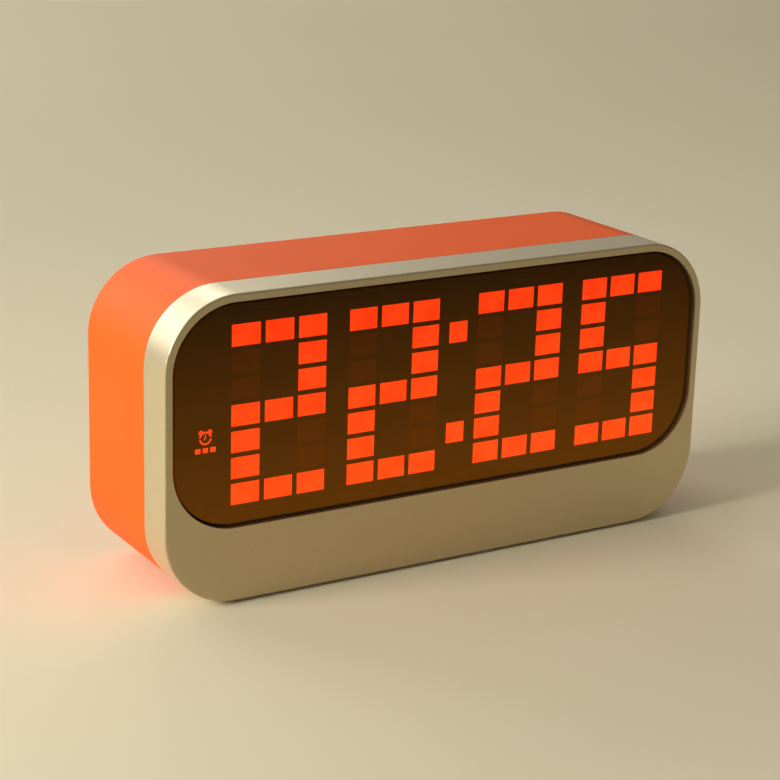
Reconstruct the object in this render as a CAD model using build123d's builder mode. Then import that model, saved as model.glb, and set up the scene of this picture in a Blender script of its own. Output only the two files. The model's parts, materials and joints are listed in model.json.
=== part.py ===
from build123d import *
from math import atan, ceil, cos, degrees, pi, radians, sin
import os

# Desk clock with four block digits, in millimetres. X runs to the right as seen from the
# front, Y to the back and Z up. The origin is on the table, under the middle of the clock.

# Case outline
case_width = 165.0
case_height = 80.3
case_depth = 46.5
corner_radius = 19.7
foot_lift = 0.8  # height of the case over the table

# Fits
seat_gap = 0.15  # beside pieces that drop into each other
moving_gap = 0.3  # beside pieces that move
screw_gap = 0.05  # around a screw's shank
overrun = 1.0  # how far a cut runs past the surface that it opens

# Front frame
frame_depth = 12.0
frame_wall = 1.6
frame_face = 2.0
frame_edge_round = 0.45
seam_chamfer = 0.1
seam_line_width = 0.12  # dark line where the shell meets the frame
seam_line_depth = 0.25
window_side = 2.1  # border beside and above the window
window_chin = 19.65  # border below the window
window_radius = 17.4
post_radius = 2.5
post_length = 4.6
post_inset = 9.8  # chin posts over the case's lower edge
post_spread_share = (-0.38, -0.13, 0.13, 0.38)  # of the case's width

# Lens and its adhesive
lens_gap = 0.55  # dark gap around the lens
lens_recess = 0.4
lens_edge = 0.25
tape_thickness = 0.2
tape_width = 2.6

# Digits, in two pairs beside the colon
digits_left = 17.0  # from the window's edges to the digits
digits_right = 11.0
digits_above = 6.25
digits_below = 5.4
digit_gap = 6.67  # between the digits of a pair
pair_gap = 12.13  # between the pairs
column_gap = 1.385  # between light cells
row_gap = 1.247
colon_width = 5.55
cell_depth = 1.2
funnel_end = 3.1  # height of a funnel at its light chip

# Alarm indicator: a bell clock over three dashes, cut through a thin mask before one cell
indicator_side = 6.7  # from the window's edge
indicator_drop = 5.54  # below the middle of the digits
indicator_width = 6.4
indicator_height = 6.8
mask_thickness = 0.6
symbol_rise = 0.84  # of the bell clock over the indicator's middle
symbol_radius = 1.75
symbol_line = 0.5
symbol_bridge = 0.4
bell_radius = 0.65
bell_spread = 1.25
bell_rise = 1.55
hand_line = 0.32
long_hand = 0.95
short_hand = 0.7
hand_angle = 35.0
dash_count = 3
dash_drop = 2.32
dash_width = 1.5
dash_height = 1.3
dash_gap = 0.6

# Carrier behind the lens
carrier_sheet = 1.6
funnel_depth = 8.0
funnel_rim = 1.0
boss_radius = 3.2
boss_inset = 0.3  # between a boss and the sheet's edge
pilot_depth = 7.0

# Display board
board_thickness = 1.6
board_edge = 2.2  # board beyond the outermost funnels
board_corner = 5.0
chip_length = 2.0
chip_width = 1.25
chip_height = 0.8
driver_length = 10.3
driver_width = 7.5
driver_height = 2.3

# Rear shell
shell_wall = 2.0
back_wall = 2.2
back_inset = 0.2  # how far each side draws in at the back
back_round = 0.6
tongue_length = 2.5
tongue_wall = 1.1
tongue_root = 3.0
tongue_notch_gap = 0.8  # around the carrier's bosses
column_wall = 1.4
tunnel_radius = 2.6
screw_land = 2.5  # plastic under a case screw's head

# Case screws
screw_radius = 1.45
screw_head_radius = 2.35
screw_head_height = 2.0
screw_bite = 6.0
driver_slot_width = 0.8
driver_slot_depth = 1.0

# Small screws, for the carrier and the boards
small_radius = 1.0
small_head_radius = 2.3
small_head_height = 1.4
small_head_edge = 0.5
small_bite = 4.0

# Feet
foot_radius = 4.5
foot_recess = 0.6
foot_edge = 0.3
foot_side = 8.8  # from the start of the case's corner curve
front_foot_y = 6.0  # behind the seam
rear_foot_y = 7.5  # before the back

# Battery bay and its cells
cell_count = 3
battery_radius = 5.25
battery_length = 43.7
nub_radius = 1.9
nub_length = 0.8
battery_pitch = 11.0
spring_length = 5.2
contact_thickness = 0.4
contact_size = 8.4
bay_wall = 1.5
bay_side_share = 0.438  # of the width that bay and main board leave free
bay_drop = 4.15  # below the case's middle
cradle_width = 1.5  # ribs across the bay's floor, hollowed along the cells
cradle_height = 2.5
cradle_gap = 0.6  # between a rib and a cell
cradle_shares = (-0.25, 0.25)  # of the bay's length, from its middle

# Coil springs at the cells' flat ends
wire_radius = 0.35
spring_turns = 4
spring_base_radius = 2.9
spring_tip_radius = 1.9

# Battery door
door_thickness = 1.6
door_overlap = 1.2  # of the door over the bay's edge
door_corner = 1.0
door_gap = 0.25
lug_width = 6.0
lug_spread = 16.0
lug_thickness = 1.2
lug_reach = 1.6
latch_width = 10.0
latch_depth = 6.0
latch_thickness = 1.0
latch_gap = 2.5
latch_headroom = 0.8
latch_grip = 1.4
groove_count = 3  # finger grooves below the latch
groove_length = 14.0
groove_width = 0.8
groove_pitch = 2.2
groove_depth = 0.4
groove_drop = 3.0  # from the door's upper edge to the first groove

# Main board, its switches and what it carries
main_width = 66.0
main_height = 46.0
main_side_share = 0.299  # of the width that bay and main board leave free
main_lift = 2.35  # above the case's middle
switch_size = 6.0
switch_body = 3.4
switch_height = 8.0  # from the board to the stem's top
stem_radius = 1.75
stem_gap = 0.1
stem_sunk = 0.9
main_post_radius = 3.0
main_post_inset = 4.0

# Buttons
button_names = ("set", "alarm", "down", "up", "snooze")
button_radius = 3.2
button_proud = 0.8
button_flange = 1.0
button_flange_width = 1.0
button_rest_gap = 0.15
button_travel = 0.5
button_round = 0.4
button_pitch = 11.0
button_edge = 8.5  # below the upper edge of the main board

# Slide switch for the alarm
slider_shares = (-0.333, -0.098)  # place on the main board, from its middle
slider_base_length = 8.6
slider_base_width = 4.4
slider_base_height = 3.6
slider_travel = 2.5
slider_length = 4.0
slider_width = 2.4
slider_stem = 1.6
slider_stem_sunk = 1.6
slider_flange = 1.0

# Sounder
sounder_shares = (-0.015, -0.185)
sounder_radius = 6.0
sounder_height = 5.5
sounder_hole_radius = 1.0
sounder_hole_depth = 1.5
grille_hole_radius = 0.7
grille_pitch = 2.6
grille_count = 6

# Power inlet
inlet_shares = (0.318, -0.272)
inlet_size = 9.4
inlet_nose_radius = 4.0
inlet_bore_radius = 3.0
inlet_bore_depth = 9.0
inlet_recess = 0.3
inlet_pin_radius = 1.0

# Ribbon and its sockets
ribbon_width = 16.0
ribbon_thickness = 0.9
socket_length = 20.0
socket_width = 5.0
socket_height = 4.0
ribbon_shares = (-0.197, -0.141)
ribbon_step = 7.0
ribbon_lead = 1.5
ribbon_bend_share = 0.29  # of the way between the sockets

# Chips on the main board
controller_size = 10.0
controller_height = 1.6
controller_edge = 0.6
controller_shares = (0.167, 0.076)
crystal_length = 11.0
crystal_width = 4.6
crystal_height = 3.6
crystal_shares = (0.167, 0.337)
capacitor_radius = 4.0
capacitor_height = 9.0
capacitor_edge = 0.5
capacitor_shares = (0.333, -0.25)

# Planes and places that follow from the sizes
front_y = -(case_depth + button_proud) / 2
back_y = front_y + case_depth
seam_y = front_y + frame_depth
inner_back_y = back_y - back_wall
case_middle = foot_lift + case_height / 2
shell_depth = case_depth - frame_depth
shell_taper = degrees(atan(back_inset / shell_depth))
carrier_y = front_y + frame_face
funnel_back_y = carrier_y + funnel_depth
display_board_back_y = funnel_back_y + board_thickness
lens_y = front_y + lens_recess
lens_thickness = frame_face - lens_recess - tape_thickness
main_back_y = inner_back_y - button_rest_gap - button_flange - switch_height
main_front_y = main_back_y - board_thickness
window_width = case_width - 2 * window_side
window_height = case_height - window_side - window_chin
window_middle = foot_lift + window_chin + window_height / 2

digit_rows = {
    "8": ("###", "#.#", "#.#", "###", "#.#", "#.#", "###"),
    "2": ("###", "..#", "..#", "###", "#..", "#..", "###"),
    "5": ("###", "#..", "#..", "###", "..#", "..#", "###"),
}
shown_time = "2225"
digit_names = ("hour_tens", "hour_units", "minute_tens", "minute_units")
row_count = len(digit_rows["8"])
column_count = len(digit_rows["8"][0])
colon_row = 2  # rows from the middle to a block of the colon

digit_width = (window_width - digits_left - digits_right - 2 * digit_gap - pair_gap) / len(digit_names)
digit_height = window_height - digits_above - digits_below
column_pitch = (digit_width + column_gap) / column_count
row_pitch = (digit_height + row_gap) / row_count
cell_width = column_pitch - column_gap
cell_height = row_pitch - row_gap
display_x = (digits_left - digits_right) / 2
display_z = window_middle + (digits_below - digits_above) / 2
funnel_angle = degrees(atan((cell_height - funnel_end) / 2 / funnel_depth))
indicator_x = -window_width / 2 + indicator_side + indicator_width / 2
indicator_z = display_z - indicator_drop

bay_length = battery_length + nub_length + spring_length + 2 * contact_thickness
bay_height = (cell_count - 1) * battery_pitch + 2 * (battery_radius + moving_gap)
spare_width = case_width - bay_length - main_width
bay_x = -case_width / 2 + bay_side_share * spare_width + bay_length / 2
bay_z = case_middle - bay_drop
main_x = case_width / 2 - main_side_share * spare_width - main_width / 2
main_z = case_middle + main_lift
button_z = main_z + main_height / 2 - button_edge

os.makedirs("parts", exist_ok=True)


def upright(y):
    """Plane across the clock at depth y, drawn as seen from the front. A positive extrusion
    comes to the front and a negative one goes to the back."""
    return Plane(origin=(0, y, 0), x_dir=(1, 0, 0), z_dir=(0, -1, 0))


def save(piece, name):
    """Labels a finished piece and writes it under its name."""
    piece.part.label = name
    export_step(piece.part, f"parts/{name}.step")


def case_outline(y, inset=0.0):
    """The case's rounded outline at depth y, drawn in by an inset all round."""
    with BuildSketch(upright(y)) as outline:
        with Locations((0, case_middle)):
            RectangleRounded(case_width - 2 * inset, case_height - 2 * inset, corner_radius - inset)
    return outline.sketch


def case_ring(y, outer_inset, inner_inset):
    """A ring along the case's outline, between two insets."""
    with BuildSketch(upright(y)) as ring:
        with Locations((0, case_middle)):
            RectangleRounded(
                case_width - 2 * outer_inset, case_height - 2 * outer_inset, corner_radius - outer_inset
            )
            RectangleRounded(
                case_width - 2 * inner_inset,
                case_height - 2 * inner_inset,
                corner_radius - inner_inset,
                mode=Mode.SUBTRACT,
            )
    return ring.sketch


def window_outline(y, inset=0.0):
    """The window's rounded outline at depth y, drawn in by an inset all round."""
    with BuildSketch(upright(y)) as outline:
        with Locations((0, window_middle)):
            RectangleRounded(window_width - 2 * inset, window_height - 2 * inset, window_radius - inset)
    return outline.sketch


def discs(y, places, radius):
    """Round faces of one radius at several places of the plane at depth y."""
    with BuildSketch(upright(y)) as faces:
        with Locations(*places):
            Circle(radius)
    return faces.sketch


def blocks(y, places, width, height):
    """Rectangular faces of one size at several places of the plane at depth y."""
    with BuildSketch(upright(y)) as faces:
        with Locations(*places):
            Rectangle(width, height)
    return faces.sketch


def digit_middle(index):
    """Middle of one digit across the clock: two pairs, either side of the colon."""
    side = -1 if index < 2 else 1
    from_colon = (pair_gap + digit_width) / 2 + (digit_width + digit_gap if index in (0, 3) else 0)
    return display_x + side * from_colon


def cells_of(index, rows):
    """Middles of the cells that a digit's rows mark."""
    return [
        (
            digit_middle(index) + (column - (column_count - 1) / 2) * column_pitch,
            display_z + ((row_count - 1) / 2 - row) * row_pitch,
        )
        for row, marks in enumerate(rows)
        for column, mark in enumerate(marks)
        if mark == "#"
    ]


def dark_rows(lit):
    """The rows of the cells that a lit digit leaves dark."""
    return tuple(
        "".join("#" if full == "#" and mark == "." else "." for full, mark in zip(full_row, lit_row))
        for full_row, lit_row in zip(digit_rows["8"], lit)
    )


def on_main_board(shares):
    """A place on the main board, at shares of its width and height from its middle."""
    return (main_x + shares[0] * main_width, main_z + shares[1] * main_height)


all_digit_cells = [place for index in range(len(digit_names)) for place in cells_of(index, digit_rows["8"])]
colon_cells = [(display_x, display_z + side * colon_row * row_pitch) for side in (1, -1)]
indicator_place = (indicator_x, indicator_z)

corner_reach = (corner_radius - frame_wall - seat_gap - boss_inset - boss_radius) * cos(radians(45))
corner_places = [
    (
        side * (case_width / 2 - corner_radius + corner_reach),
        case_middle + level * (case_height / 2 - corner_radius + corner_reach),
    )
    for side in (-1, 1)
    for level in (-1, 1)
]
post_places = [(share * case_width, foot_lift + post_inset) for share in post_spread_share]
main_post_places = [
    (
        main_x + side * (main_width / 2 - main_post_inset),
        main_z + level * (main_height / 2 - main_post_inset),
    )
    for side in (-1, 1)
    for level in (-1, 1)
]
button_places = [(main_x + (index - 2) * button_pitch, button_z) for index in range(len(button_names))]

# Front frame: a face with the window, a band round it, and posts in the chin
post_y = carrier_y + post_length
with BuildPart() as front_frame:
    extrude(case_outline(front_y), amount=-frame_depth)
    fillet(front_frame.faces().sort_by(Axis.Y)[0].outer_wire().edges(), frame_edge_round)
    chamfer(front_frame.faces().sort_by(Axis.Y)[-1].outer_wire().edges(), seam_chamfer)
    extrude(case_outline(carrier_y, frame_wall), amount=-frame_depth, mode=Mode.SUBTRACT)
    extrude(window_outline(front_y - overrun), amount=-(frame_face + 2 * overrun), mode=Mode.SUBTRACT)
    extrude(discs(carrier_y, post_places, post_radius), amount=-post_length)
    extrude(
        discs(post_y, post_places, small_radius + screw_gap),
        amount=small_bite + screw_gap,
        mode=Mode.SUBTRACT,
    )
save(front_frame, "front_frame")

# Lens, set back a little in the window, and the adhesive that holds it to the carrier
with BuildPart() as display_lens:
    extrude(window_outline(lens_y, lens_gap), amount=-lens_thickness)
    chamfer(display_lens.faces().sort_by(Axis.Y)[0].outer_wire().edges(), lens_edge)
save(display_lens, "display_lens")

with BuildPart() as lens_adhesive:
    extrude(window_outline(carrier_y, lens_gap), amount=tape_thickness)
    extrude(
        window_outline(carrier_y + overrun, lens_gap + tape_width),
        amount=tape_thickness + 2 * overrun,
        mode=Mode.SUBTRACT,
    )
save(lens_adhesive, "lens_adhesive")


def alarm_symbol(y):
    """Outline of a bell clock over three dashes. Two bridges hold the clock's face in its ring."""
    ring_z = indicator_z + symbol_rise
    with BuildSketch(upright(y)) as symbol:
        with Locations((indicator_x, ring_z)):
            Circle(symbol_radius)
            Circle(symbol_radius - symbol_line, mode=Mode.SUBTRACT)
            Rectangle(2 * symbol_radius + overrun, symbol_bridge, mode=Mode.SUBTRACT)
        with Locations(*[(indicator_x + side * bell_spread, ring_z + bell_rise) for side in (-1, 1)]):
            Circle(bell_radius)
        with Locations((indicator_x, ring_z + long_hand / 2)):
            Rectangle(hand_line, long_hand)
        with Locations(Location((indicator_x, ring_z), hand_angle)):
            with Locations((-short_hand / 2, 0)):
                Rectangle(short_hand, hand_line)
        with Locations((indicator_x, indicator_z - dash_drop)):
            with GridLocations(dash_width + dash_gap, dash_height, dash_count, 1):
                Rectangle(dash_width, dash_height)
    return symbol.sketch


# Carrier: a sheet behind the lens, with a funnel to each light cell and bosses for the case screws
mask_back_y = carrier_y + mask_thickness
with BuildPart() as display_carrier:
    extrude(case_outline(carrier_y, frame_wall + seat_gap), amount=-carrier_sheet)
    for index in range(len(digit_names)):
        extrude(
            blocks(
                carrier_y,
                [(digit_middle(index), display_z)],
                digit_width + 2 * funnel_rim,
                digit_height + 2 * funnel_rim,
            ),
            amount=-funnel_depth,
        )
    extrude(
        blocks(
            carrier_y,
            [(display_x, display_z)],
            colon_width + 2 * funnel_rim,
            2 * colon_row * row_pitch + cell_height + 2 * funnel_rim,
        ),
        amount=-funnel_depth,
    )
    extrude(
        blocks(
            carrier_y,
            [indicator_place],
            indicator_width + 2 * funnel_rim,
            indicator_height + 2 * funnel_rim,
        ),
        amount=-funnel_depth,
    )
    extrude(discs(carrier_y, corner_places, boss_radius), amount=-(frame_depth - frame_face))
    extrude(
        discs(seam_y, corner_places, screw_radius + screw_gap),
        amount=pilot_depth,
        mode=Mode.SUBTRACT,
    )
    extrude(
        discs(carrier_y, post_places, post_radius + seat_gap + small_head_radius - small_radius),
        amount=-(post_length - seat_gap),
    )
    extrude(
        discs(carrier_y - overrun, post_places, post_radius + seat_gap),
        amount=-(post_length + 2 * overrun),
        mode=Mode.SUBTRACT,
    )
    extrude(
        blocks(carrier_y, all_digit_cells, cell_width, cell_height),
        amount=-funnel_depth,
        taper=funnel_angle,
        mode=Mode.SUBTRACT,
    )
    extrude(
        blocks(carrier_y, colon_cells, colon_width, cell_height),
        amount=-funnel_depth,
        taper=funnel_angle,
        mode=Mode.SUBTRACT,
    )
    extrude(
        blocks(mask_back_y, [indicator_place], indicator_width, indicator_height),
        amount=-(funnel_depth - mask_thickness),
        taper=funnel_angle,
        mode=Mode.SUBTRACT,
    )
    extrude(alarm_symbol(carrier_y), amount=-mask_thickness, mode=Mode.SUBTRACT)
save(display_carrier, "display_carrier")


def light_cells(y, places, width, height):
    """Milky cells that fill the mouths of their funnels at depth y."""
    with BuildPart() as cells:
        extrude(blocks(y, places, width, height), amount=-cell_depth, taper=funnel_angle)
    return cells


for index, digit in enumerate(shown_time):
    lit_rows = digit_rows[digit]
    lit_places = cells_of(index, lit_rows)
    dark_places = cells_of(index, dark_rows(lit_rows))
    save(light_cells(carrier_y, lit_places, cell_width, cell_height), f"{digit_names[index]}_lit_cells")
    save(light_cells(carrier_y, dark_places, cell_width, cell_height), f"{digit_names[index]}_dark_cells")
save(light_cells(carrier_y, colon_cells, colon_width, cell_height), "colon_cells")

with BuildPart() as alarm_indicator:
    add(light_cells(mask_back_y, [indicator_place], indicator_width, indicator_height).part)
    extrude(alarm_symbol(carrier_y), amount=-mask_thickness)
save(alarm_indicator, "alarm_indicator")

# Display board, cut round the corner bosses, with a light chip at the end of each funnel
board_left = indicator_x - indicator_width / 2 - board_edge
board_right = digit_middle(len(digit_names) - 1) + digit_width / 2 + board_edge
board_height = digit_height + 2 * board_edge
with BuildPart() as display_board:
    with BuildSketch(upright(funnel_back_y)):
        with Locations(((board_left + board_right) / 2, display_z)):
            RectangleRounded(board_right - board_left, board_height, board_corner)
    extrude(amount=-board_thickness)
    extrude(
        discs(funnel_back_y - overrun, corner_places, boss_radius + moving_gap),
        amount=-(board_thickness + 2 * overrun),
        mode=Mode.SUBTRACT,
    )
save(display_board, "display_board")

with BuildPart() as light_chips:
    extrude(
        blocks(
            funnel_back_y, all_digit_cells + colon_cells + [indicator_place], chip_length, chip_width
        ),
        amount=chip_height,
    )
save(light_chips, "light_chips")

driver_places = [(digit_middle(index), display_z) for index in (0, 3)]
with BuildPart() as display_drivers:
    extrude(blocks(display_board_back_y, driver_places, driver_length, driver_width), amount=-driver_height)
save(display_drivers, "display_drivers")


def small_screws(y, places, side):
    """Pan-head screws whose heads seat on depth y. Side 1 drives them to the front, -1 to the back."""
    with BuildPart() as screws:
        extrude(discs(y, places, small_head_radius), amount=-side * small_head_height)
        chamfer(
            screws.edges().filter_by(GeomType.CIRCLE).group_by(Axis.Y)[-1 if side > 0 else 0],
            small_head_edge,
        )
        extrude(discs(y, places, small_radius), amount=side * small_bite)
    return screws


save(small_screws(post_y, post_places, 1), "carrier_screws")

# Rear shell: a tapering cup whose tongue slips into the frame, with screw columns, board posts,
# the battery bay with its door's seat, and the openings of the back
bay_floor_y = back_y - door_thickness - 2 * moving_gap - 2 * battery_radius - moving_gap
cell_y = bay_floor_y + moving_gap + battery_radius
cell_places = [bay_z + (row - (cell_count - 1) / 2) * battery_pitch for row in range(cell_count)]
door_width = bay_length + 2 * door_overlap
door_height = bay_height + 2 * door_overlap
door_bottom = bay_z - door_height / 2
door_top = bay_z + door_height / 2
latch_span = latch_gap + 2 * latch_thickness
latch_bottom = door_top - latch_thickness
latch_top = latch_bottom + latch_span
lug_places = [bay_x - lug_spread, bay_x + lug_spread]
lug_toe_y = back_y - back_wall - moving_gap - lug_thickness
lug_swing = ((back_y - lug_toe_y) ** 2 + lug_reach**2) ** 0.5
door_seat_y = back_y - door_thickness - seat_gap


def bay_box(y, grow):
    """The battery bay's outline, grown all round, at depth y."""
    return blocks(y, [(bay_x, bay_z)], bay_length + 2 * grow, bay_height + 2 * grow)


def latch_box(y, grow):
    """Outline of the space that the door's latch needs over the bay, grown to its walls."""
    low = bay_z + bay_height / 2
    high = latch_top + latch_headroom
    return blocks(
        y,
        [(bay_x, (low + high) / 2)],
        latch_width + 2 * (moving_gap + grow),
        high - low + 2 * grow,
    )


latch_floor_y = back_y - latch_depth - latch_headroom
sounder_place = on_main_board(sounder_shares)
grille_places = [sounder_place] + [
    (
        sounder_place[0] + grille_pitch * cos(2 * pi * step / grille_count),
        sounder_place[1] + grille_pitch * sin(2 * pi * step / grille_count),
    )
    for step in range(grille_count)
]
inlet_place = on_main_board(inlet_shares)
slider_place = on_main_board(slider_shares)
slider_slot_place = (slider_place[0] + slider_travel / 2, slider_place[1])
foot_x = case_width / 2 - corner_radius - foot_side
foot_places = [
    (side * foot_x, y) for side in (-1, 1) for y in (seam_y + front_foot_y, back_y - rear_foot_y)
]
main_post_length = inner_back_y - main_back_y

with BuildPart() as rear_shell:
    extrude(case_outline(seam_y), amount=-shell_depth, taper=shell_taper)
    fillet(rear_shell.faces().sort_by(Axis.Y)[-1].outer_wire().edges(), back_round)
    extrude(case_ring(seam_y, -overrun, seam_line_depth), amount=-seam_line_width, mode=Mode.SUBTRACT)
    extrude(
        case_outline(seam_y, shell_wall),
        amount=-(shell_depth - back_wall),
        taper=shell_taper,
        mode=Mode.SUBTRACT,
    )
    # tongue along the front edge, notched round the carrier's bosses
    tongue_inset = frame_wall + seat_gap
    extrude(
        case_ring(seam_y - tongue_length, tongue_inset, tongue_inset + tongue_wall),
        amount=-(tongue_length + tongue_root),
    )
    extrude(case_ring(seam_y, shell_wall / 2, tongue_inset + tongue_wall), amount=-tongue_root)
    extrude(
        discs(seam_y, corner_places, boss_radius + tongue_notch_gap),
        amount=tongue_length + overrun,
        mode=Mode.SUBTRACT,
    )
    # screw columns
    extrude(
        discs(seam_y, corner_places, tunnel_radius + column_wall),
        amount=-(shell_depth - back_wall / 2),
    )
    extrude(
        discs(seam_y - overrun, corner_places, screw_radius + seat_gap),
        amount=-(screw_land + 2 * overrun),
        mode=Mode.SUBTRACT,
    )
    extrude(
        discs(seam_y + screw_land, corner_places, tunnel_radius),
        amount=-shell_depth,
        mode=Mode.SUBTRACT,
    )
    # posts for the main board
    extrude(discs(main_back_y, main_post_places, main_post_radius), amount=-main_post_length)
    extrude(
        discs(main_back_y, main_post_places, small_radius + screw_gap),
        amount=-small_bite,
        mode=Mode.SUBTRACT,
    )
    # battery bay and the pocket for the door's latch
    extrude(bay_box(bay_floor_y - bay_wall, bay_wall), amount=-(inner_back_y - bay_floor_y + bay_wall))
    extrude(latch_box(latch_floor_y - bay_wall, bay_wall), amount=-(inner_back_y - latch_floor_y + bay_wall))
    extrude(bay_box(bay_floor_y, 0), amount=-(back_y - bay_floor_y + overrun), mode=Mode.SUBTRACT)
    extrude(latch_box(latch_floor_y, 0), amount=-(back_y - latch_floor_y + overrun), mode=Mode.SUBTRACT)
    # cradles under the cells
    for share in cradle_shares:
        with BuildSketch(Plane.YZ.offset(bay_x + share * bay_length - cradle_width / 2)):
            with Locations((bay_floor_y + (cradle_height - bay_wall / 2) / 2, bay_z)):
                Rectangle(cradle_height + bay_wall / 2, bay_height + bay_wall)
            with Locations(*[(cell_y, z) for z in cell_places]):
                Circle(battery_radius + cradle_gap, mode=Mode.SUBTRACT)
        extrude(amount=cradle_width)
    # seat of the door, and slots for its lugs
    extrude(
        blocks(
            door_seat_y,
            [(bay_x, bay_z)],
            door_width + 2 * door_gap,
            door_height + 2 * door_gap,
        ),
        amount=-(back_y - door_seat_y + overrun),
        mode=Mode.SUBTRACT,
    )
    extrude(
        blocks(
            back_y - lug_swing - moving_gap,
            [(x, bay_z - bay_height / 2 - bay_wall / 2) for x in lug_places],
            lug_width + 2 * moving_gap,
            bay_wall + 2 * moving_gap,
        ),
        amount=-(door_seat_y - back_y + lug_swing + moving_gap),
        mode=Mode.SUBTRACT,
    )
    # openings of the back
    extrude(
        discs(inner_back_y - overrun, button_places, button_radius + seat_gap),
        amount=-(back_wall + 2 * overrun),
        mode=Mode.SUBTRACT,
    )
    extrude(
        discs(inner_back_y - overrun, grille_places, grille_hole_radius),
        amount=-(back_wall + 2 * overrun),
        mode=Mode.SUBTRACT,
    )
    extrude(
        discs(inner_back_y - overrun, [inlet_place], inlet_nose_radius + seat_gap),
        amount=-(back_wall + 2 * overrun),
        mode=Mode.SUBTRACT,
    )
    extrude(
        blocks(
            inner_back_y - overrun,
            [slider_slot_place],
            slider_length + slider_travel + 2 * moving_gap,
            slider_width + 2 * seat_gap,
        ),
        amount=-(back_wall + 2 * overrun),
        mode=Mode.SUBTRACT,
    )
    # seats of the feet
    with BuildSketch(Plane.XY.offset(foot_lift + foot_recess)):
        with Locations(*foot_places):
            Circle(foot_radius + screw_gap)
    extrude(amount=-(foot_lift + foot_recess), mode=Mode.SUBTRACT)
save(rear_shell, "rear_shell")

with BuildPart() as rubber_feet:
    with BuildSketch():
        with Locations(*foot_places):
            Circle(foot_radius)
    extrude(amount=foot_lift + foot_recess)
    chamfer(rubber_feet.edges().filter_by(GeomType.CIRCLE).group_by(Axis.Z)[0], foot_edge)
save(rubber_feet, "rubber_feet")

# Case screws at the ends of the tunnels, with a cross for the driver
head_y = seam_y + screw_land
with BuildPart() as case_screws:
    extrude(discs(head_y, corner_places, screw_head_radius), amount=-screw_head_height)
    extrude(discs(head_y, corner_places, screw_radius), amount=screw_land + screw_bite)
    with BuildSketch(upright(head_y + screw_head_height - driver_slot_depth)):
        with Locations(*corner_places):
            Rectangle(2 * screw_radius, driver_slot_width)
            Rectangle(driver_slot_width, 2 * screw_radius)
    extrude(amount=-(driver_slot_depth + overrun), mode=Mode.SUBTRACT)
save(case_screws, "case_screws")

# Battery door: a flush plate on two lugs, with a bent latch in the middle of its upper edge and
# finger grooves below it. It swings about its lower outer edge.
with BuildPart() as battery_door:
    with BuildSketch(upright(back_y)):
        with Locations((bay_x, bay_z)):
            RectangleRounded(door_width, door_height, door_corner)
    extrude(amount=door_thickness)
    with BuildSketch(Plane.YZ.offset(bay_x - latch_width / 2)):
        latch_middle = (latch_bottom + latch_top) / 2
        with Locations((back_y - latch_depth / 2, latch_middle)):
            Rectangle(latch_depth, latch_span)
        with Locations((back_y - (latch_depth - latch_thickness) / 2, latch_middle)):
            Rectangle(latch_depth - latch_thickness, latch_gap, mode=Mode.SUBTRACT)
        with Locations((back_y - latch_thickness / 2, latch_top - latch_thickness - latch_grip / 2)):
            Rectangle(latch_thickness, latch_grip)
    extrude(amount=latch_width)
    fillet(
        battery_door.edges().filter_by(Axis.X).group_by(Axis.Y)[0],
        latch_thickness,
    )
    for x in lug_places:
        with BuildSketch(Plane.YZ.offset(x - lug_width / 2)):
            lug_z = door_bottom + door_overlap + moving_gap
            with BuildLine():
                Polyline(
                    (back_y - door_thickness, lug_z),
                    (back_y - door_thickness, lug_z + lug_thickness),
                    (lug_toe_y, lug_z + lug_thickness),
                    (lug_toe_y, door_bottom - lug_reach),
                    (lug_toe_y + lug_thickness, door_bottom - lug_reach),
                    (lug_toe_y + lug_thickness, lug_z),
                    close=True,
                )
            make_face()
        extrude(amount=lug_width)
    groove_places = [
        (bay_x, door_top - groove_drop - row * groove_pitch) for row in range(groove_count)
    ]
    extrude(
        blocks(back_y - groove_depth, groove_places, groove_length, groove_width),
        amount=-(groove_depth + overrun),
        mode=Mode.SUBTRACT,
    )
save(battery_door, "battery_door")

# Battery cells, lying side by side and turned about, their plates and their coil springs
bay_left = bay_x - bay_length / 2
bay_right = bay_x + bay_length / 2


def cell_start(row):
    """Side on which a cell's flat end lies, the inner face of the contact there, and the way
    along the cell to its nub."""
    way = 1 if row % 2 == 0 else -1
    end = bay_left if way > 0 else bay_right
    return end + way * contact_thickness, way


with BuildPart() as battery_cells:
    for row, z in enumerate(cell_places):
        start, way = cell_start(row)
        with BuildSketch(Plane(origin=(start + way * spring_length, cell_y, z), z_dir=(way, 0, 0))):
            Circle(battery_radius)
        extrude(amount=battery_length)
        with BuildSketch(
            Plane(origin=(start + way * (spring_length + battery_length), cell_y, z), z_dir=(way, 0, 0))
        ):
            Circle(nub_radius)
        extrude(amount=nub_length)
save(battery_cells, "battery_cells")

with BuildPart() as battery_contacts:
    for end in (bay_left, bay_right - contact_thickness):
        with BuildSketch(Plane.YZ.offset(end)):
            with Locations(*[(cell_y, z) for z in cell_places]):
                Rectangle(contact_size, contact_size)
        extrude(amount=contact_thickness)
save(battery_contacts, "battery_contacts")


def spring_point(share):
    """Point of a coil spring's centre line, and the way it runs there, at a share of its turns.
    The spring stands on its contact and narrows along X."""
    turn = 2 * pi * spring_turns
    reach = spring_length - 2 * wire_radius
    radius = spring_base_radius + (spring_tip_radius - spring_base_radius) * share
    angle = turn * share
    point = Vector(wire_radius + reach * share, radius * cos(angle), radius * sin(angle))
    slope = (spring_tip_radius - spring_base_radius) / turn
    way = Vector(
        reach / turn,
        slope * cos(angle) - radius * sin(angle),
        slope * sin(angle) + radius * cos(angle),
    )
    return point, way.normalized()


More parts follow.
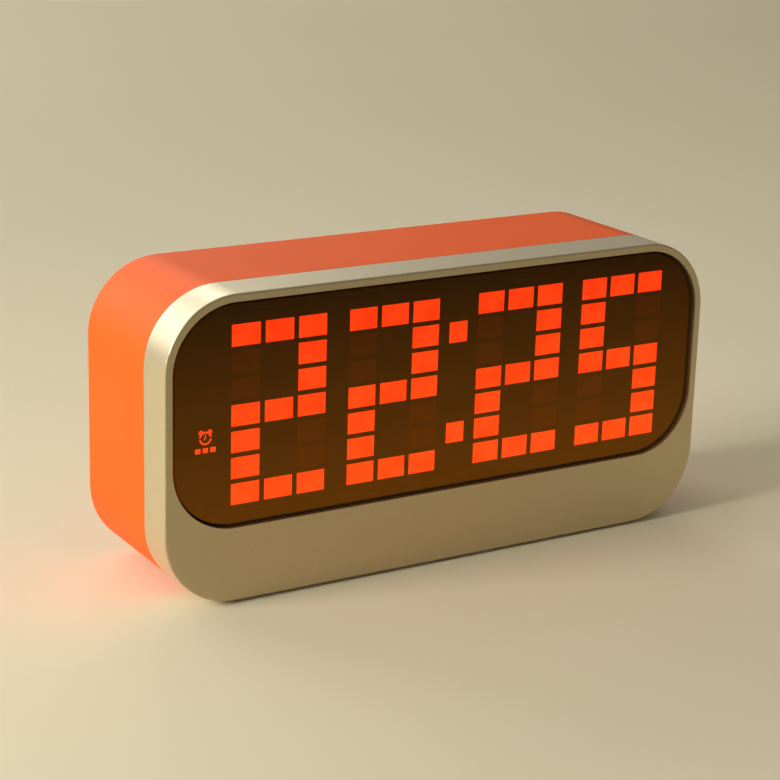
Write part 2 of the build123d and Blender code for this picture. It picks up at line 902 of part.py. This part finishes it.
def biarc(start, start_way, end, end_way):
    """Two arcs in a row, from one point and way to another. They meet smoothly, half way along
    two arms of equal length that follow the ways at the ends."""
    chord = end - start
    spread = 2 * (1 - start_way.dot(end_way))
    across = chord.dot(start_way + end_way)
    arm = (-across + (across**2 + spread * chord.dot(chord)) ** 0.5) / spread
    middle = (start + start_way * arm + end - end_way * arm) * 0.5
    first = Edge.make_tangent_arc(start, start_way, middle)
    return [first, Edge.make_tangent_arc(middle, first % 1, end)]


def spring_wire():
    """The centre line of one coil spring, in quarter turns of two arcs each."""
    edges = []
    steps = 4 * spring_turns
    for step in range(steps):
        edges += biarc(*spring_point(step / steps), *spring_point((step + 1) / steps))
    return Wire(edges)


def least_coil_gap(line):
    """Least gap between the coils of a spring, over points of its centre line that lie at least
    half of its smallest turn apart along the wire."""
    count = 48 * spring_turns
    points = [line @ (step / count) for step in range(count + 1)]
    apart = ceil(pi * spring_tip_radius * count / line.length)
    reaches = [
        (points[one] - points[other]).length
        for one in range(len(points))
        for other in range(one + apart, len(points))
    ]
    return min(reaches) - 2 * wire_radius


spring_line = spring_wire()
print(f"least gap between a spring's coils: {least_coil_gap(spring_line):.2f} mm")

with BuildPart() as one_spring:
    with BuildLine():
        add(spring_line)
    with BuildSketch(Plane(origin=spring_point(0)[0], z_dir=spring_point(0)[1])):
        Circle(wire_radius)
    sweep()

with BuildPart() as battery_springs:
    for row, z in enumerate(cell_places):
        start, way = cell_start(row)
        turned = one_spring.part if way > 0 else one_spring.part.rotate(Axis.Z, 180)
        add(turned.moved(Location((start, cell_y, z))))
save(battery_springs, "battery_springs")

# Main board with what it carries on both faces
with BuildPart() as main_board:
    extrude(blocks(main_front_y, [(main_x, main_z)], main_width, main_height), amount=-board_thickness)
    extrude(
        discs(main_front_y - overrun, main_post_places, small_radius + screw_gap),
        amount=-(board_thickness + 2 * overrun),
        mode=Mode.SUBTRACT,
    )
save(main_board, "main_board")
save(small_screws(main_front_y, main_post_places, -1), "main_board_screws")

controller_place = on_main_board(controller_shares)
with BuildPart() as controller_chip:
    extrude(
        blocks(main_front_y, [controller_place], controller_size, controller_size),
        amount=controller_height,
    )
    chamfer(controller_chip.edges().filter_by(Axis.Y), controller_edge)
save(controller_chip, "controller_chip")

with BuildPart() as timing_crystal:
    with BuildSketch(upright(main_front_y)):
        with Locations(on_main_board(crystal_shares)):
            SlotOverall(crystal_length, crystal_width)
    extrude(amount=crystal_height)
save(timing_crystal, "timing_crystal")

with BuildPart() as supply_capacitor:
    extrude(
        discs(main_front_y, [on_main_board(capacitor_shares)], capacitor_radius),
        amount=capacitor_height,
    )
    chamfer(supply_capacitor.edges().filter_by(GeomType.CIRCLE).group_by(Axis.Y)[0], capacitor_edge)
save(supply_capacitor, "supply_capacitor")

# Key switches: bodies on the board, each with a well that its stem sinks into
stem_foot_y = main_back_y + switch_body - stem_sunk
with BuildPart() as key_switches:
    extrude(blocks(main_back_y, button_places, switch_size, switch_size), amount=-switch_body)
    extrude(
        discs(stem_foot_y - button_travel - moving_gap, button_places, stem_radius + stem_gap),
        amount=-(switch_body + overrun),
        mode=Mode.SUBTRACT,
    )
save(key_switches, "key_switches")

# Buttons: a cap through the back wall, a flange behind it, and the stem that it presses
flange_y = inner_back_y - button_rest_gap - button_flange
for name, place in zip(button_names, button_places):
    with BuildPart() as button:
        extrude(discs(flange_y, [place], button_radius + button_flange_width), amount=-button_flange)
        extrude(
            discs(flange_y, [place], button_radius),
            amount=-(back_y + button_proud - flange_y),
        )
        fillet(button.faces().sort_by(Axis.Y)[-1].edges(), button_round)
    save(button, f"{name}_button")
    with BuildPart() as stem:
        extrude(discs(stem_foot_y, [place], stem_radius), amount=-(flange_y - stem_foot_y))
    save(stem, f"{name}_stem")

# Slide switch: a base with a well, and a knob with a flange that covers the slot from inside
with BuildPart() as alarm_switch:
    extrude(
        blocks(main_back_y, [slider_slot_place], slider_base_length, slider_base_width),
        amount=-slider_base_height,
    )
    extrude(
        blocks(
            main_back_y + slider_base_height - slider_stem_sunk - moving_gap,
            [slider_slot_place],
            slider_stem + slider_travel + 2 * moving_gap,
            slider_stem + 2 * seat_gap,
        ),
        amount=-(slider_stem_sunk + moving_gap + overrun),
        mode=Mode.SUBTRACT,
    )
save(alarm_switch, "alarm_switch")

slider_flange_y = inner_back_y - button_rest_gap - slider_flange
slider_foot_y = main_back_y + slider_base_height - slider_stem_sunk
with BuildPart() as alarm_knob:
    extrude(
        blocks(slider_foot_y, [slider_place], slider_stem, slider_stem),
        amount=-(slider_flange_y - slider_foot_y),
    )
    extrude(
        blocks(
            slider_flange_y,
            [slider_place],
            slider_length + 2 * slider_travel,
            slider_width + 2 * button_flange_width,
        ),
        amount=-slider_flange,
    )
    extrude(
        blocks(slider_flange_y, [slider_place], slider_length, slider_width),
        amount=-(back_y + button_proud - slider_flange_y),
    )
    fillet(alarm_knob.faces().sort_by(Axis.Y)[-1].edges(), button_round)
save(alarm_knob, "alarm_knob")

# Sounder behind its grille
with BuildPart() as sounder:
    extrude(discs(main_back_y, [sounder_place], sounder_radius), amount=-sounder_height)
    extrude(
        discs(main_back_y + sounder_height - sounder_hole_depth, [sounder_place], sounder_hole_radius),
        amount=-(sounder_hole_depth + overrun),
        mode=Mode.SUBTRACT,
    )
save(sounder, "sounder")

# Power inlet: a square body on the board, a round nose in the back wall, and a centre pin
nose_y = back_y - inlet_recess
inlet_shoulder_y = inner_back_y - moving_gap
with BuildPart() as power_inlet:
    extrude(
        blocks(main_back_y, [inlet_place], inlet_size, inlet_size),
        amount=-(inlet_shoulder_y - main_back_y),
    )
    extrude(discs(inlet_shoulder_y, [inlet_place], inlet_nose_radius), amount=-(nose_y - inlet_shoulder_y))
    extrude(
        discs(nose_y - inlet_bore_depth, [inlet_place], inlet_bore_radius),
        amount=-(inlet_bore_depth + overrun),
        mode=Mode.SUBTRACT,
    )
save(power_inlet, "power_inlet")

with BuildPart() as inlet_pin:
    extrude(
        discs(nose_y - inlet_bore_depth, [inlet_place], inlet_pin_radius),
        amount=-(inlet_bore_depth - inlet_pin_radius),
    )
    fillet(inlet_pin.faces().sort_by(Axis.Y)[-1].edges(), inlet_pin_radius / 2)
save(inlet_pin, "inlet_pin")

# Ribbon between the boards, stepping down in two bends, and its sockets
socket_low = on_main_board(ribbon_shares)
socket_high = (socket_low[0], socket_low[1] + ribbon_step)
with BuildPart() as ribbon_sockets:
    extrude(blocks(display_board_back_y, [socket_high], socket_length, socket_width), amount=-socket_height)
    extrude(blocks(main_front_y, [socket_low], socket_length, socket_width), amount=socket_height)
save(ribbon_sockets, "ribbon_sockets")

ribbon_start_y = display_board_back_y + socket_height
ribbon_end_y = main_front_y - socket_height
with BuildPart() as ribbon_cable:
    with BuildLine(Plane.YZ.offset(socket_low[0])):
        FilletPolyline(
            (ribbon_start_y, socket_high[1]),
            (ribbon_start_y + ribbon_lead, socket_high[1]),
            (ribbon_end_y - ribbon_lead, socket_low[1]),
            (ribbon_end_y, socket_low[1]),
            radius=ribbon_bend_share * (ribbon_end_y - ribbon_start_y),
        )
    with BuildSketch(upright(ribbon_start_y)):
        with Locations(socket_high):
            Rectangle(ribbon_width, ribbon_thickness)
    sweep()
save(ribbon_cable, "ribbon_cable")
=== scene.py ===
import json
import math

import bpy
import numpy as np
from mathutils import Matrix, Vector


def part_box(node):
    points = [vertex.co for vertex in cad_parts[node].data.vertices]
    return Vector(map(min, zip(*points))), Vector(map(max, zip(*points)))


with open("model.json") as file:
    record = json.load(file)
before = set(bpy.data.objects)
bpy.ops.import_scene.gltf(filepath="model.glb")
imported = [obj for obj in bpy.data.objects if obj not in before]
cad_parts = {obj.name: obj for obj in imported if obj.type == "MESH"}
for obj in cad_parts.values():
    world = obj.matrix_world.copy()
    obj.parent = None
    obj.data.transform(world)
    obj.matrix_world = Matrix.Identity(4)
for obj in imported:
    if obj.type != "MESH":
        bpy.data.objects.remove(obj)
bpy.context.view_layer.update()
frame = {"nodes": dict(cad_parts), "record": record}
nodes = frame["nodes"]
MM = 0.001

# Camera, solved from the edges and light cells of the clock
CAMERA_PLACE = (-0.29696, -0.47369, 0.21253)
CAMERA_YAW = 31.727
CAMERA_PITCH = 17.011
CAMERA_ROLL = 1.674
CAMERA_LENS = 99.42
SENSOR_WIDTH = 36.0

# The lens, and a painted glow behind it that grows towards its lower edge: stray LED light and, low down, a
# reflection of the floor, painted as emission
LENS_LOW, LENS_HIGH = [Vector(corner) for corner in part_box("display_lens")]
LENS_MIDDLE = (LENS_LOW + LENS_HIGH) / 2
LENS_HALF = (LENS_HIGH - LENS_LOW) / 2
LENS_CORNER = 16.85 * MM
PAINTED_LENS_GLOW = ((0.021, 0.002, 0.0), (0.215, 0.092, 0.004))
DARK_CELL_PAINTED_GLOW = ((0.050, 0.002, 0.0), (0.255, 0.088, 0.003))

# Gloss of all moulded plastic
PLASTIC_GLOSS = 0.22

# Battery cells: how far the middle one reaches up and down, and places along each cell from the
# tip of its nub
MIDDLE_CELL_REACH = 5.4 * MM
NUB_FOOT = 1.15 * MM
COLLAR_END = 9.5 * MM
WRAP_END = 44.15 * MM

# Room: it is bright towards one side and dim towards the other
FLOOR_REACH = 3.0
BRIGHT_SIDE = (-0.33, 0.80, 0.50)
DIM_ROOM = (0.13, 0.125, 0.105)
BRIGHT_ROOM = (0.31, 0.305, 0.285)

# Lamps: place, aim, side of the square, power in watts, spread in degrees
CLOCK_MIDDLE = (0.0, 0.0, 0.04)
FAR_FLOOR = (0.6, 1.6, 0.0)
LAMPS = {
    "key_lamp": ((-0.905, 0.0, 0.46), CLOCK_MIDDLE, 0.4, 1.6, 75.0),
    "corner_lamp": ((-0.45, 1.1, 0.50), CLOCK_MIDDLE, 0.75, 3.9, 180.0),
    "top_lamp": ((-0.2, 0.9, 1.1), CLOCK_MIDDLE, 0.9, 0.9, 180.0),
    "ceiling_lamp": ((0.41, -0.33, 0.90), CLOCK_MIDDLE, 0.5, 0.35, 180.0),
    "edge_lamp": ((-0.88, -0.43, 0.10), CLOCK_MIDDLE, 0.18, 0.17, 60.0),
    "background_lamp": ((0.5, 1.9, 1.1), FAR_FLOOR, 0.8, 7.0, 180.0),
}


class Channel:
    """One socket of a finish, with arithmetic: an expression on channels adds its Math nodes."""

    def __init__(self, finish, socket):
        self.finish = finish
        self.socket = socket

    def math(self, operation, *others):
        inputs = dict(enumerate((self,) + others))
        return self.finish.node("ShaderNodeMath", {"operation": operation}, inputs)

    def __add__(self, other):
        return self.math("ADD", other)

    __radd__ = __add__

    def __sub__(self, other):
        return self.math("SUBTRACT", other)

    def __rsub__(self, other):
        return self.math("MULTIPLY", -1.0) + other

    def __mul__(self, other):
        return self.math("MULTIPLY", other)

    __rmul__ = __mul__

    def __truediv__(self, other):
        return self.math("DIVIDE", other)

    def __rtruediv__(self, other):
        return self.finish.node("ShaderNodeMath", {"operation": "DIVIDE"}, {0: other, 1: self})

    def clamp(self):
        return self.finish.node("ShaderNodeClamp", {}, {0: self})

    def between(self, low, high):
        """0 up to low, 1 from high on, and smooth in between."""
        settings = {"interpolation_type": "SMOOTHSTEP"}
        return self.finish.node("ShaderNodeMapRange", settings, {0: self, 1: low, 2: high})


class Finish:
    """One procedural material, or the world."""

    def __init__(self, name, kind="materials", place="Object"):
        self.block = getattr(bpy.data, kind).new(name)
        self.block.use_nodes = True
        self.tree = self.block.node_tree
        self.tree.nodes.clear()
        self.place = self.node("ShaderNodeTexCoord", {}, {}, place)

    def node(self, kind, settings, inputs, output=0):
        """Any node, by its type: its settings, then the values or links of its inputs. One of its
        outputs comes back."""
        made = self.tree.nodes.new(kind)
        for key, value in settings.items():
            setattr(made, key, value)
        for key, value in inputs.items():
            socket = made.inputs[key]
            if isinstance(value, Channel):
                self.tree.links.new(value.socket, socket)
            else:
                socket.default_value = value
        return Channel(self, made.outputs[output])

    def axis(self, name):
        """One coordinate of the place on the clock, in metres."""
        return self.node("ShaderNodeSeparateXYZ", {}, {0: self.place}, name)

    def behind_lens(self):
        """1 behind the lens and 0 beside it, by the distance to its outline: half sizes less the
        corner radius, the rest beyond them as the sides of a right triangle, less the radius."""
        across = self.axis("X") - LENS_MIDDLE.x
        up = self.axis("Z") - LENS_MIDDLE.z
        past_side = (across.math("ABSOLUTE") - (LENS_HALF.x - LENS_CORNER)).math("MAXIMUM", 0.0)
        past_top = (up.math("ABSOLUTE") - (LENS_HALF.z - LENS_CORNER)).math("MAXIMUM", 0.0)
        outside = (past_side * past_side + past_top * past_top).math("SQRT") - LENS_CORNER
        return 1.0 - outside.between(-0.3 * MM, 0.0)

    def down_lens(self):
        """0 at the upper edge of the lens and 1 at the lower one."""
        return ((LENS_HIGH.z - self.axis("Z")) / (2 * LENS_HALF.z)).clamp()

    def paint_glow_behind_lens(self, glow):
        """Painted glow behind the lens, on parts that are no lamp: from its colour at the upper edge to
        that at the lower one, brighter low down as a painted reflection of the floor.
        """
        light = self.blend(self.down_lens(), *[rgba(*colour) for colour in glow])
        return self.blend(self.behind_lens(), rgba(0, 0, 0), light)

    def noise(self, scale, detail=2.0, roughness=0.5):
        inputs = {"Vector": self.place, "Scale": scale, "Detail": detail, "Roughness": roughness}
        return self.node("ShaderNodeTexNoise", {}, inputs, "Fac")

    def blend(self, share, first, second):
        """The first colour where share is 0 and the second where it is 1."""
        inputs = {0: share, 6: first, 7: second}
        return self.node("ShaderNodeMix", {"data_type": "RGBA"}, inputs, 2)

    def bump(self, height, distance):
        inputs = {"Height": height, "Distance": distance, "Strength": 1.0}
        return self.node("ShaderNodeBump", {}, inputs, "Normal")

    def principled(self, inputs):
        return self.node("ShaderNodeBsdfPrincipled", {}, inputs)

    def show(self, shader, ending="ShaderNodeOutputMaterial"):
        """Ends the finish with its shader, and gives back the material or world."""
        self.tree.links.new(shader.socket, self.tree.nodes.new(ending).inputs["Surface"])
        return self.block


def rgba(red, green, blue):
    return (red, green, blue, 1.0)


def moulded(name, colour, shade, roughness, grain=2600.0, relief=0.004 * MM, glow=None):
    """Moulded plastic: a fine spark-eroded grain, slow cloudy change of colour, soft gloss. A glow is
    painted light: emission behind the lens that stands in for spilt LED light and grows towards the lens's
    foot as a painted reflection of the floor."""
    f = Finish(name)
    grains = f.noise(grain, 3.0, 0.6)
    clouds = f.noise(22.0, 2.0)
    tone = f.blend(clouds.between(0.3, 0.7) * 0.6 + grains * 0.4, rgba(*colour), rgba(*shade))
    inputs = {
        "Base Color": tone,
        "Roughness": roughness + grains * 0.08,
        "Normal": f.bump(grains, relief),
        "Specular IOR Level": PLASTIC_GLOSS,
    }
    # Painted glow: emission on a part that is no lamp, only behind the lens
    if glow:
        inputs["Emission Color"] = f.paint_glow_behind_lens(glow)
        inputs["Emission Strength"] = 1.0
    return f.show(f.principled(inputs))


def silver_paint(name):
    """Sprayed silver: metal flakes under a thin satin coat, with a faint orange-peel ripple. Its colour is
    set darker seen square on than at a slant: painted shade on faces turned to the view and a painted sheen
    on slanting ones."""
    f = Finish(name)
    flakes = f.node("ShaderNodeTexVoronoi", {}, {"Vector": f.place, "Scale": 7000.0}, "Color")
    flake = f.node("ShaderNodeSeparateColor", {}, {0: flakes}, "Red")
    ripple = f.noise(900.0, 1.0)
    # Painted shade and sheen: the base colour follows the angle to the view, darker square on and lighter
    # at a slant
    slant = f.node("ShaderNodeLayerWeight", {}, {"Blend": 0.5}, "Facing").between(0.1, 0.6)
    square_on = f.blend(flake, rgba(0.52, 0.425, 0.255), rgba(0.60, 0.49, 0.30))
    slant_painted_sheen = f.blend(flake, rgba(0.70, 0.60, 0.40), rgba(0.78, 0.67, 0.45))
    tone = f.blend(slant, square_on, slant_painted_sheen)
    inputs = {
        "Base Color": tone,
        "Metallic": 0.92,
        "Roughness": 0.38 + flake * 0.06,
        "Normal": f.bump(flake * 0.5 + ripple * 0.5, 0.0008 * MM),
    }
    return f.show(f.principled(inputs))


def smoked_lens(name):
    """Polished bronze acrylic: its tint darkens what is behind it, and its front mirrors more at a
    glance, by Schlick's rule on the share of the view that isn't square to it. The back face is
    left clear, because the adhesive lies on it. Faint smears change its gloss."""
    f = Finish(name)
    smears = f.noise(70.0, 3.0)
    tint = f.node("ShaderNodeBsdfTransparent", {}, {"Color": rgba(0.4356, 0.2704, 0.16)})
    gloss_inputs = {"Color": rgba(1.0, 0.74, 0.24), "Roughness": 0.02 + smears * 0.03}
    gloss = f.node("ShaderNodeBsdfGlossy", {}, gloss_inputs)
    clear = f.node("ShaderNodeBsdfTransparent", {}, {"Color": rgba(1, 1, 1)})
    slant = f.node("ShaderNodeLayerWeight", {}, {"Blend": 0.5}, "Facing")
    square_on, growth = 0.028, 0.8
    mirror = square_on + growth * slant.math("POWER", 5.0)
    front = f.node("ShaderNodeMixShader", {}, {0: mirror, 1: tint, 2: gloss})
    back = f.node("ShaderNodeNewGeometry", {}, {}, "Backfacing")
    return f.show(f.node("ShaderNodeMixShader", {}, {0: back, 1: front, 2: clear}))


def lit_cell(name):
    """A milky cell lit from behind, cloudy, and a little more orange towards the lens's foot."""
    f = Finish(name)
    haze = f.noise(260.0, 1.0).between(0.3, 0.7)
    upper = f.blend(haze, rgba(1.0, 0.040, 0.005), rgba(1.0, 0.062, 0.009))
    lower = f.blend(haze, rgba(1.0, 0.102, 0.016), rgba(1.0, 0.128, 0.024))
    glow = f.blend(f.down_lens(), upper, lower)
    inputs = {
        "Base Color": rgba(0.5, 0.03, 0.01),
        "Roughness": 0.45,
        "Emission Color": glow,
        "Emission Strength": 2.6,
    }
    return f.show(f.principled(inputs))


def dark_cell(name):
    """A milky cell with its light off: a faint red, hardly lighter than the carrier, with the same painted
    glow behind the lens as emission.
    """
    f = Finish(name)
    haze = f.noise(260.0, 1.0)
    tone = f.blend(haze, rgba(0.060, 0.014, 0.006), rgba(0.085, 0.018, 0.007))
    inputs = {
        "Base Color": tone,
        "Roughness": 0.5,
        "Emission Color": f.paint_glow_behind_lens(DARK_CELL_PAINTED_GLOW),
        "Emission Strength": 1.0,
    }
    return f.show(f.principled(inputs))


def wrapped_cell(name):
    """A cell in plain two-tone shrink wrap, bare steel at both ends. Each cell is measured from
    the tip of its own nub: the middle one's is at the low end, the other two's at the high one."""
    f = Finish(name)
    low, high = [Vector(corner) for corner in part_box("battery_cells")]
    off_middle = (f.axis("Z") - (low.z + high.z) / 2).math("ABSOLUTE")
    middle = off_middle.math("LESS_THAN", MIDDLE_CELL_REACH)
    from_tip = middle * (f.axis("X") - low.x) + (1.0 - middle) * (high.x - f.axis("X"))
    bare = from_tip.math("LESS_THAN", NUB_FOOT) + from_tip.math("GREATER_THAN", WRAP_END)
    collar = from_tip.math("LESS_THAN", COLLAR_END)
    scuffs = f.noise(420.0, 3.0)
    wrap_tone = f.blend(collar, rgba(0.035, 0.050, 0.075), rgba(0.46, 0.47, 0.48))
    tone = f.blend(bare, wrap_tone, rgba(0.60, 0.60, 0.61))
    inputs = {
        "Base Color": tone,
        "Metallic": bare,
        "Roughness": 0.26 + scuffs * 0.12,
        "Normal": f.bump(scuffs, 0.01 * MM),
    }
    return f.show(f.principled(inputs))


def plated(name, colour, roughness):
    """Bright plating over drawn or turned metal, with fine streaks in its gloss."""
    f = Finish(name)
    streaks = f.noise(1400.0, 3.0)
    shade = [0.86 * share for share in colour]
    inputs = {
        "Base Color": f.blend(streaks, rgba(*colour), rgba(*shade)),
        "Metallic": 1.0,
        "Roughness": roughness + streaks * 0.12,
        "Normal": f.bump(streaks, 0.002 * MM),
    }
    return f.show(f.principled(inputs))


def circuit_board(name):
    """Green solder mask with the faint relief and paler green of the tracks under it."""
    f = Finish(name)
    bricks = {"Vector": f.place, "Scale": 160.0, "Mortar Size": 0.12}
    tracks = f.node("ShaderNodeTexBrick", {"offset": 0.5}, bricks, "Fac")
    tone = f.blend(tracks, rgba(0.012, 0.10, 0.04), rgba(0.03, 0.20, 0.075))
    inputs = {"Base Color": tone, "Roughness": 0.35, "Normal": f.bump(tracks, 0.03 * MM)}
    return f.show(f.principled(inputs))


# A finish for each material slot of the record, and others for two of its nodes
LENS_BACKING = ((0.018, 0.014, 0.009), (0.022, 0.017, 0.011), 0.7, 900.0)
FINISH_OF_SLOT = {
    "silver_paint": silver_paint("silver_paint"),
    "smoked_lens": smoked_lens("smoked_lens"),
    "orange_plastic": moulded("orange_plastic", (0.91, 0.118, 0.003), (0.86, 0.103, 0.002), 0.48),
    "orange_key": moulded("orange_key_plastic", (0.91, 0.118, 0.003), (0.84, 0.099, 0.002), 0.40, 3200.0),
    "black_plastic": moulded("black_plastic", (0.014, 0.013, 0.012), (0.022, 0.020, 0.018), 0.55),
    # The foam carries a painted glow behind the lens
    "black_foam": moulded("black_foam", *LENS_BACKING, glow=PAINTED_LENS_GLOW),
    "lit_cell": lit_cell("lit_cell"),
    "dark_cell": dark_cell("dark_cell"),
    "circuit_board": circuit_board("circuit_board"),
    "chip_resin": moulded("chip_resin", (0.02, 0.02, 0.022), (0.035, 0.035, 0.037), 0.6, 2400.0, 0.01 * MM),
    "light_chip": moulded("light_chip_resin", (0.80, 0.74, 0.52), (0.72, 0.66, 0.45), 0.3),
    "zinc_steel": plated("zinc_plating", (0.62, 0.63, 0.65), 0.28),
    "nickel": plated("nickel_plating", (0.70, 0.68, 0.64), 0.22),
    "brass": plated("brass", (0.75, 0.55, 0.25), 0.25),
    "rubber": moulded("foot_rubber", (0.02, 0.02, 0.021), (0.032, 0.031, 0.03), 0.75, 1900.0, 0.01 * MM),
    "cell_wrap": moulded("cell_wrap", (0.050, 0.055, 0.065), (0.070, 0.075, 0.085), 0.3, 300.0),
    "ribbon": moulded("ribbon_plastic", (0.45, 0.45, 0.44), (0.36, 0.36, 0.36), 0.5),
    "white_plastic": moulded("white_plastic", (0.70, 0.69, 0.66), (0.62, 0.61, 0.57), 0.5),
}
FINISH_OF_NODE = {
    # The carrier carries the same painted glow behind the lens
    "display_carrier": moulded("carrier_plastic", *LENS_BACKING, glow=PAINTED_LENS_GLOW),
    "battery_cells": wrapped_cell("battery_cell_wrap"),
}

slot_of = {part["node"]: part["material_slot"] for part in frame["record"]["subparts"]}
for name, piece in nodes.items():
    for material_slot in piece.material_slots:
        material_slot.material = FINISH_OF_NODE.get(name, FINISH_OF_SLOT[slot_of[name]])


def build_camera():
    """The camera looks along +Y turned by its yaw, tipped down by its pitch, then rolled."""
    camera = bpy.data.objects.new("camera", bpy.data.cameras.new("camera"))
    camera.data.lens = CAMERA_LENS
    camera.data.sensor_width = SENSOR_WIDTH
    camera.matrix_world = (
        Matrix.Translation(CAMERA_PLACE)
        @ Matrix.Rotation(math.radians(-CAMERA_YAW), 4, "Z")
        @ Matrix.Rotation(math.radians(90.0 - CAMERA_PITCH), 4, "X")
        @ Matrix.Rotation(math.radians(CAMERA_ROLL), 4, "Z")
    )
    bpy.context.collection.objects.link(camera)
    bpy.context.scene.camera = camera


def build_floor():
    """A plain pale floor under the clock's feet."""
    mesh = bpy.data.meshes.new("floor")
    turns = [(-1, -1), (1, -1), (1, 1), (-1, 1)]
    corners = [(across * FLOOR_REACH, along * FLOOR_REACH, 0) for across, along in turns]
    mesh.from_pydata(corners, [], [(0, 1, 2, 3)])
    floor = bpy.data.objects.new("floor", mesh)
    f = Finish("pale_floor")
    clouds = f.noise(6.0, 2.0)
    tone = f.blend(clouds, rgba(0.82, 0.72, 0.49), rgba(0.85, 0.75, 0.52))
    inputs = {"Base Color": tone, "Roughness": 0.85, "Specular IOR Level": 0.2}
    mesh.materials.append(f.show(f.principled(inputs)))
    bpy.context.collection.objects.link(floor)


def add_lamp(name, place, aim, size, power, spread):
    """A square soft lamp at one place, turned to shine at another within its spread."""
    lamp = bpy.data.lights.new(name, "AREA")
    lamp.size = size
    lamp.energy = power
    lamp.spread = math.radians(spread)
    holder = bpy.data.objects.new(name, lamp)
    holder.location = place
    holder.rotation_euler = (Vector(aim) - Vector(place)).to_track_quat("-Z", "Y").to_euler()
    holder.visible_camera = False
    bpy.context.collection.objects.link(holder)


def build_world():
    """A room that is dim in front of the clock and bright behind it, more so to the left: the
    direction's share along the bright side sets the blend."""
    f = Finish("studio", "worlds", "Generated")
    settings = {"operation": "DOT_PRODUCT"}
    along = f.node("ShaderNodeVectorMath", settings, {0: f.place, 1: BRIGHT_SIDE}, "Value")
    light = f.blend(along.between(-0.2, 0.8), rgba(*DIM_ROOM), rgba(*BRIGHT_ROOM))
    back = f.node("ShaderNodeBackground", {}, {"Color": light, "Strength": 1.0})
    bpy.context.scene.world = f.show(back, "ShaderNodeOutputWorld")


build_camera()
build_floor()
build_world()
for name, lamp in LAMPS.items():
    add_lamp(name, *lamp)

view = bpy.context.scene.view_settings
view.view_transform = "Standard"
